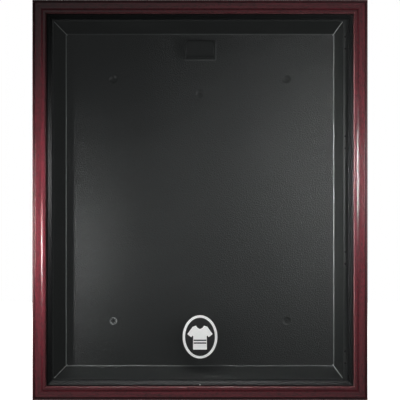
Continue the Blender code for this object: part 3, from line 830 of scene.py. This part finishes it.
def hanging_hook():
    """The shallow hook: a flared foot on the tray's floor, a curved face, and an open slot behind its lip."""
    deep = -HOOK_LOW.y - FLOOR_T
    plate = [(0.0, HOOK_FLARE, 0), (0.0016, HOOK_FLARE, 0.0005), (0.0016, 0.0018, 0.0012), (deep, 0.0, 0)]
    flare = rounded(plate, 6)
    nose = rounded([(0.020, 0.0008, 0), (deep, 0.0, 0.0036), (deep, -0.010, 0)], 6)
    stations = [(max(out, GAP), grow) for out, grow in flare[:-1]] + nose[:-1]
    bm = bmesh.new()
    skin_over(bm, [hook_ring(bm, out, grow) for out, grow in stations])
    curl_back(bm, deep)
    mesh = mesh_of(bm, "hanging_hook", 50)
    beyond = [max(v.co.x - HOOK_HALF_W, -v.co.z - HOOK_HALF_H) for v in mesh.vertices]
    # Painted highlight along the rim of the hook's flared foot.
    paint(mesh, "scuff", [0.22 * float(away > HOOK_FLARE - 0.0012) for away in beyond])
    hook = place("hanging_hook", mesh, SMOOTH, (0, 0, HOOK_Z))
    wide = HOOK_HALF_W + 0.02
    lip_back = HOOK_LOW.y + 0.008
    slot_foot = HOOK_Z + HOOK_HALF_H - 0.020
    slot = box_bmesh((-wide, lip_back, slot_foot), (wide, lip_back + 0.018, HOOK_Z + 0.06))
    bottom_edges = [e for e in slot.edges if all(v.co.z < slot_foot + 0.001 for v in e.verts)]
    along = [e for e in bottom_edges if abs(e.verts[0].co.x - e.verts[1].co.x) > wide]
    bmesh.ops.bevel(slot, geom=along, offset=0.006, segments=8, profile=0.5, affect="EDGES")
    carved(hook, [place("slot", mesh_of(slot, "slot"))], sharp=50)
    soften(hook, 0.0006, 3, 40)
    stands_for(hook, "hanger_hook", "case")


# ---------------------------------------------------------------- fittings
def screw(name, length):
    """A countersunk screw with a cross recess and a threaded shank, its head facing +Z."""
    pitch, tip = 0.0008, 0.002
    profile = [(0, 0), (HEAD_R - 0.0003, 0), (HEAD_R, -0.00015), (SHANK_R, -HEAD_D)]
    z = -HEAD_D - pitch / 2
    for _ in range(int((length - HEAD_D - tip) / pitch)):
        profile += [(SHANK_R * 0.80, z), (SHANK_R, z - pitch / 2)]
        z -= pitch
    profile += [(SHANK_R * 0.75, z), (SHANK_R * 0.2, -length + 0.0002), (0, -length)]
    body = place(name, turned(name, profile, 24, 30))
    arms = []
    reach, half_slot, slot_d, over = 0.0016, 0.00032, 0.0008, 0.001
    for turn in (0, math.pi / 2):
        bm = box_bmesh((-reach, -half_slot, -slot_d), (reach, half_slot, over))
        arms.append(place("arm", mesh_of(bm, "arm"), None, (0, 0, 0), (0, 0, turn + math.pi / 7)))
    mesh = carved(body, arms, sharp=30).data
    bpy.data.objects.remove(body)
    return mesh


def screws():
    """Detailed screws in the places of the plain ones."""
    meshes = {}
    for node in sorted(NODES):
        if "screw" not in node:
            continue
        low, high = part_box(node)
        length = round(high.y - low.y, 5)
        if length not in meshes:
            meshes[length] = screw(f"screw_{length * 1000:.1f}_mm", length)
            meshes[length].materials.append(BLACK_SCREW)
        faces_front = node.startswith("case_hinge")
        head_y = low.y if faces_front else high.y
        turn = math.pi / 2 if faces_front else -math.pi / 2
        piece = place(f"cross_head_{node}", meshes[length], None, centre_of(node, y=head_y), (turn, 0, 0))
        stands_for(piece, node, "door" if node.startswith("door") else "case")


def stud():
    """The small domed stud that the door is pulled by, on its pin."""
    radius = (STUD_HIGH.x - STUD_LOW.x) / 2
    rim, crown = 0.0004, 0.0016
    pin_r, pin_foot = 0.0010, -0.0068
    arc = [math.pi / 2 * k / 10 for k in range(10)]
    dome = [(radius * math.cos(turn), rim + (crown - rim) * math.sin(turn)) for turn in arc]
    pin = [(0, pin_foot), (pin_r, pin_foot), (pin_r, 0.0)]
    profile = [*pin, (radius - 0.0001, 0.0), *dome, (0, crown)]
    mesh = turned("bright_pull_stud", profile, 32, 50)
    seat = centre_of("pull_stud", y=STUD_LOW.y + crown)
    piece = place("bright_pull_stud", mesh, SATIN_STEEL, seat, (math.pi / 2, 0, 0))
    stands_for(piece, "pull_stud", "door")


def carried_over():
    """Small CAD pieces that keep their shape and take their finish and a hair of edge rounding."""
    finishes = {
        "case_hinge_leaf": (ENAMEL, 0.00025),
        "door_hinge_leaf": (ENAMEL, 0.00025),
        "hinge_pin": (ENAMEL, 0.0002),
        "glazing_point": (ZINC, 0.0001),
        "mitre_key": (BEECH, 0.0003),
        "catch_magnet": (NICKEL, 0.0002),
        "catch_strike": (ZINC, 0.0001),
    }
    for node, obj in NODES.items():
        for start, (finish, edge) in finishes.items():
            if node.startswith(start):
                obj.data.materials.clear()
                obj.data.materials.append(finish)
                weld = obj.modifiers.new("weld", "WELD")
                weld.merge_threshold = 0.00001
                soften(obj, edge)


# ---------------------------------------------------------------- floor, light and camera
def floor():
    """The plain pale floor, a hair below the case."""
    bm = bmesh.new()
    bmesh.ops.create_grid(bm, x_segments=1, y_segments=1, size=3.0)
    mesh = mesh_of(bm, "pale_floor")
    f = Finish("pale_floor")
    tint = f.noise((3, 3, 3), 3.0)
    colour = f.mix(tint, (0.78, 0.78, 0.77), (0.84, 0.84, 0.83))
    glow = f.surface(Base_Color=colour, Roughness=0.8, Emission_Color=(1, 1, 1, 1), Emission_Strength=0.9)
    obj = place("pale_floor", mesh, f.done(glow), (0, 0, LOW[2] - 0.0005))
    obj.visible_diffuse = False
    obj.visible_glossy = False


def wall_shade():
    """A dark card just behind the case, seen only from the front: the shaded wall behind the fixing holes."""
    behind_case = 0.002
    bm = bmesh.new()
    corners = [(-FLOOR_X, -FLOOR_Z), (FLOOR_X, -FLOOR_Z), (FLOOR_X, FLOOR_Z), (-FLOOR_X, FLOOR_Z)]
    bm.faces.new([bm.verts.new((x, behind_case, z)) for x, z in corners])
    mesh = bpy.data.meshes.new("wall_shade")
    bm.to_mesh(mesh)
    bm.free()
    f = Finish("wall_shade")
    grain = f.noise((60, 60, 60), 2.0)
    colour = f.mix(grain, (0.008, 0.008, 0.009), (0.012, 0.012, 0.013))
    dark = f.surface(Base_Color=colour, Roughness=0.9)
    behind = f.node("ShaderNodeNewGeometry", output="Backfacing")
    clear = f.node("ShaderNodeBsdfTransparent")
    one_sided = f.node("ShaderNodeMixShader", None, {0: behind, 1: dark, 2: clear})
    card = place("wall_shade", mesh, f.done(one_sided))
    card.visible_diffuse = False
    card.visible_glossy = False
    card.visible_shadow = False


def softbox(name, location, target, width, height, power, spread=180):
    """A rectangular soft light; a smaller spread in degrees stands for a grid over its front."""
    data = bpy.data.lights.new(name, "AREA")
    data.shape = "RECTANGLE"
    data.size = width
    data.size_y = height
    data.energy = power
    data.spread = math.radians(spread)
    obj = bpy.data.objects.new(name, data)
    bpy.context.scene.collection.objects.link(obj)
    obj.location = location
    obj.rotation_euler = (Vector(target) - Vector(location)).to_track_quat("-Z", "Y").to_euler()
    obj.visible_camera = False
    return obj


def keep_off_sheet(lamps):
    """The clear sheet takes no glare from these lamps."""
    group = bpy.data.collections.new("glare_free")
    group.objects.link(bpy.data.objects["clear_front_sheet"])
    group.collection_objects[0].light_linking.link_state = "EXCLUDE"
    for lamp in lamps:
        lamp.light_linking.receiver_collection = group


# name, place, what it is aimed at, width, height, power, spread
GRIDDED_LAMPS = (
    ("right_softbox", (0.84, -1.08, 0.09), (0.38, 0, 0.07), 0.07, 0.24, 0.98, 64),
    ("left_softbox", (-0.76, -0.50, -0.15), (-0.38, 0, -0.15), 0.032, 0.17, 0.90, 80),
    ("side_softbox", (-1.75, -0.40, 0.05), (0.36, -0.03, 0.03), 0.12, 0.3, 2.0, 32),
    ("top_softbox", (0.0, -0.90, 1.05), (0.0, 0, -0.52), 1.0, 0.15, 0.74, 40),
)
OPEN_LAMPS = (
    ("front_card", (0, -4.6, 0), (0, 0, 0), 3.0, 3.0, 4.9),
    ("rear_softbox", (-1.3, 2.2, 1.2), (0, 0, 0), 1.4, 1.4, 90),
    ("rear_fill", (1.6, 1.6, 0.2), (0, 0, 0), 1.0, 1.0, 30),
)


def studio():
    """The lamps, and a world that is white where it is looked at and lends only a faint fill."""
    keep_off_sheet([softbox(*lamp) for lamp in GRIDDED_LAMPS])
    for lamp in OPEN_LAMPS:
        softbox(*lamp)
    world = bpy.data.worlds.new("studio")
    bpy.context.scene.world = world
    world.use_nodes = True
    tree = world.node_tree
    tree.nodes.clear()
    mix = tree.nodes.new("ShaderNodeMixShader")
    looked_at = tree.nodes.new("ShaderNodeLightPath").outputs["Is Camera Ray"]
    tree.links.new(looked_at, mix.inputs[0])
    for slot, colour, strength in ((1, (0.90, 1.0, 1.0, 1), 0.045), (2, (1, 1, 1, 1), 1.0)):
        sky = tree.nodes.new("ShaderNodeBackground")
        sky.inputs["Color"].default_value = colour
        sky.inputs["Strength"].default_value = strength
        tree.links.new(sky.outputs[0], mix.inputs[slot])
    out = tree.nodes.new("ShaderNodeOutputWorld")
    tree.links.new(mix.outputs[0], out.inputs["Surface"])
    bpy.context.scene.view_settings.view_transform = "Standard"


def camera():
    """Square on to the front, with the case's width filling this share of the view's."""
    distance = 3.2
    case_share = 335.7 / 400
    seen_width = 2 * HALF_W / case_share
    data = bpy.data.cameras.new("front_camera")
    data.sensor_width = 36.0
    data.lens = data.sensor_width * distance / seen_width
    obj = bpy.data.objects.new("front_camera", data)
    bpy.context.scene.collection.objects.link(obj)
    obj.location = (0, FRONT_Y - distance, 0)
    obj.rotation_euler = (math.pi / 2, 0, 0)
    bpy.context.scene.camera = obj


camera()
door_frame()
clear_sheet()
emblem()
backing_tray()
hanging_hook()
screws()
stud()
carried_over()
floor()
wall_shade()
studio()
